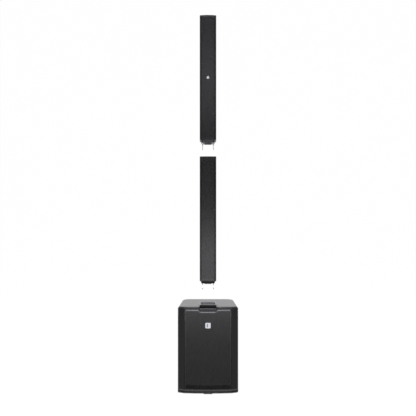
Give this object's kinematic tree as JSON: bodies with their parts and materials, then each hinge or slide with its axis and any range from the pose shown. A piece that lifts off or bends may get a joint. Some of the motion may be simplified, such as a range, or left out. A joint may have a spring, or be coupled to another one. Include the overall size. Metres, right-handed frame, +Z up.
{
  "type": "column pa system",
  "caption": "Portable column loudspeaker: a bowed-grille subwoofer with a carry handle and stacked column modules that plug down into it on guide pins.",
  "frame": {"origin": "centre of the subwoofer's footprint, on the floor", "axes": "+Z up, -Y towards the audience, +X to the right seen from the front"},
  "size_m": [0.351, 0.374, 2.2205],
  "materials": {
    "cabinet_paint": "satin black paint, fine texture",
    "baffle_board": "flat black paint",
    "black_moulding": "fine moulded texture",
    "grille_steel": "semi-gloss black powder coat",
    "acoustic_foam": "open-cell",
    "badge_metal": "satin",
    "foot_rubber": "matte",
    "driver_frame": "satin black",
    "magnet_ferrite": "ground",
    "plain_steel": "zinc plated",
    "black_screws": "black oxide",
    "surround_rubber": "matte",
    "spider_cloth": "resin-treated",
    "cone_paper": "pressed pulp",
    "coil_former": "enamelled winding",
    "contact_brass": "gold plated",
    "connector_plastic": "moulded",
    "panel_metal": "fine black texture",
    "heatsink_metal": "black anodised",
    "pot_metal": "plated",
    "indicator_lens": "clear tinted",
    "circuit_board": "solder mask",
    "transformer_core": "varnished",
    "rocker_plastic": "polished",
    "knob_plastic": "soft touch",
    "button_plastic": "satin",
    "column_housing": "semi-gloss black powder coat",
    "guide_pin_steel": "ground"
  },
  "bodies": {
    "subwoofer": {"sub_cabinet": "cabinet_paint", "front_baffle": "baffle_board", "handle_moulding": "black_moulding", "base_trim": "black_moulding", "port_tubes": "black_moulding", "column_socket": "black_moulding", "sub_grille": "grille_steel", "sub_grille_foam": "acoustic_foam", "sub_badge": "badge_metal", "sub_feet": "foot_rubber", "woofer_basket": "driver_frame", "woofer_magnet": "magnet_ferrite", "woofer_pole_plates": "plain_steel", "woofer_screws": "black_screws", "rear_panel_screws": "black_screws", "woofer_surround": "surround_rubber", "woofer_spider": "spider_cloth", "socket_contacts": "contact_brass", "xlr_jacks": "connector_plastic", "line_jacks": "connector_plastic", "mains_inlet": "connector_plastic", "switch_frame": "connector_plastic", "rear_panel": "panel_metal", "heatsink": "heatsink_metal", "level_pots": "pot_metal", "status_leds": "indicator_lens", "amp_board": "circuit_board", "power_supply_board": "circuit_board", "transformer": "transformer_core"},
    "woofer_moving": {"woofer_cone": "cone_paper", "woofer_dust_cap": "cone_paper", "woofer_voice_coil": "coil_former"},
    "power_rocker": {"power_rocker": "rocker_plastic"},
    "pairing_button": {"pairing_button": "button_plastic"},
    "lower_column": {"lower_baffle": "baffle_board", "lower_foot": "black_moulding", "lower_top_cap": "black_moulding", "lower_grille": "grille_steel", "lower_drivers": "driver_frame", "lower_contacts": "connector_plastic", "lower_housing": "column_housing", "lower_guide_pins": "guide_pin_steel"},
    "lower_cones": {"lower_cones": "cone_paper"},
    "upper_column": {"upper_baffle": "baffle_board", "upper_foot": "black_moulding", "upper_top_cap": "black_moulding", "upper_horn": "black_moulding", "upper_grille": "grille_steel", "upper_badge": "badge_metal", "upper_drivers": "driver_frame", "upper_contacts": "connector_plastic", "upper_housing": "column_housing", "upper_guide_pins": "guide_pin_steel"},
    "upper_cones": {"upper_cones": "cone_paper"},
    "first_input_knob": {"first_input_knob": "knob_plastic"},
    "second_input_knob": {"second_input_knob": "knob_plastic"},
    "line_level_knob": {"line_level_knob": "knob_plastic"},
    "treble_knob": {"treble_knob": "knob_plastic"},
    "bass_knob": {"bass_knob": "knob_plastic"},
    "main_level_knob": {"main_level_knob": "knob_plastic"}
  },
  "joints": [
    {"name": "lower_column_lift", "type": "slide", "parent": "subwoofer", "child": "lower_column", "axis": [0, 0, 1], "range_m": [-0.1382, 0]},
    {"name": "upper_column_lift", "type": "slide", "parent": "lower_column", "child": "upper_column", "axis": [0, 0, 1], "range_m": [-0.0982, 0]},
    {"name": "woofer_cone_travel", "type": "slide", "parent": "subwoofer", "child": "woofer_moving", "axis": [0, 1, 0], "range_m": [-0.006, 0.006], "stiffness_N_per_m": 2000, "deforming": ["woofer_surround", "woofer_spider"]},
    {"name": "lower_cone_travel", "type": "slide", "parent": "lower_column", "child": "lower_cones", "axis": [0, 1, 0], "range_m": [-0.0015, 0.0015], "stiffness_N_per_m": 1500},
    {"name": "upper_cone_travel", "type": "slide", "parent": "upper_column", "child": "upper_cones", "axis": [0, 1, 0], "range_m": [-0.0015, 0.0015], "stiffness_N_per_m": 1500},
    {"name": "power_rocker_tilt", "type": "hinge", "parent": "subwoofer", "child": "power_rocker", "pos_m": [-0.01, 0.163, 0.1], "axis": [1, 0, 0], "range_deg": [0, 24]},
    {"name": "pairing_button_press", "type": "slide", "parent": "subwoofer", "child": "pairing_button", "axis": [0, 1, 0], "range_m": [-0.001, 0], "stiffness_N_per_m": 300},
    {"name": "first_input_knob_turn", "type": "hinge", "parent": "subwoofer", "child": "first_input_knob", "pos_m": [-0.085, 0.176, 0.39], "axis": [0, 1, 0], "range_deg": [-150, 150]},
    {"name": "second_input_knob_turn", "type": "hinge", "parent": "subwoofer", "child": "second_input_knob", "pos_m": [-0.051, 0.176, 0.39], "axis": [0, 1, 0], "range_deg": [-150, 150]},
    {"name": "line_level_knob_turn", "type": "hinge", "parent": "subwoofer", "child": "line_level_knob", "pos_m": [-0.017, 0.176, 0.39], "axis": [0, 1, 0], "range_deg": [-150, 150]},
    {"name": "treble_knob_turn", "type": "hinge", "parent": "subwoofer", "child": "treble_knob", "pos_m": [0.017, 0.176, 0.39], "axis": [0, 1, 0], "range_deg": [-150, 150]},
    {"name": "bass_knob_turn", "type": "hinge", "parent": "subwoofer", "child": "bass_knob", "pos_m": [0.051, 0.176, 0.39], "axis": [0, 1, 0], "range_deg": [-150, 150]},
    {"name": "main_level_knob_turn", "type": "hinge", "parent": "subwoofer", "child": "main_level_knob", "pos_m": [0.085, 0.176, 0.39], "axis": [0, 1, 0], "range_deg": [-150, 150]}
  ]
}
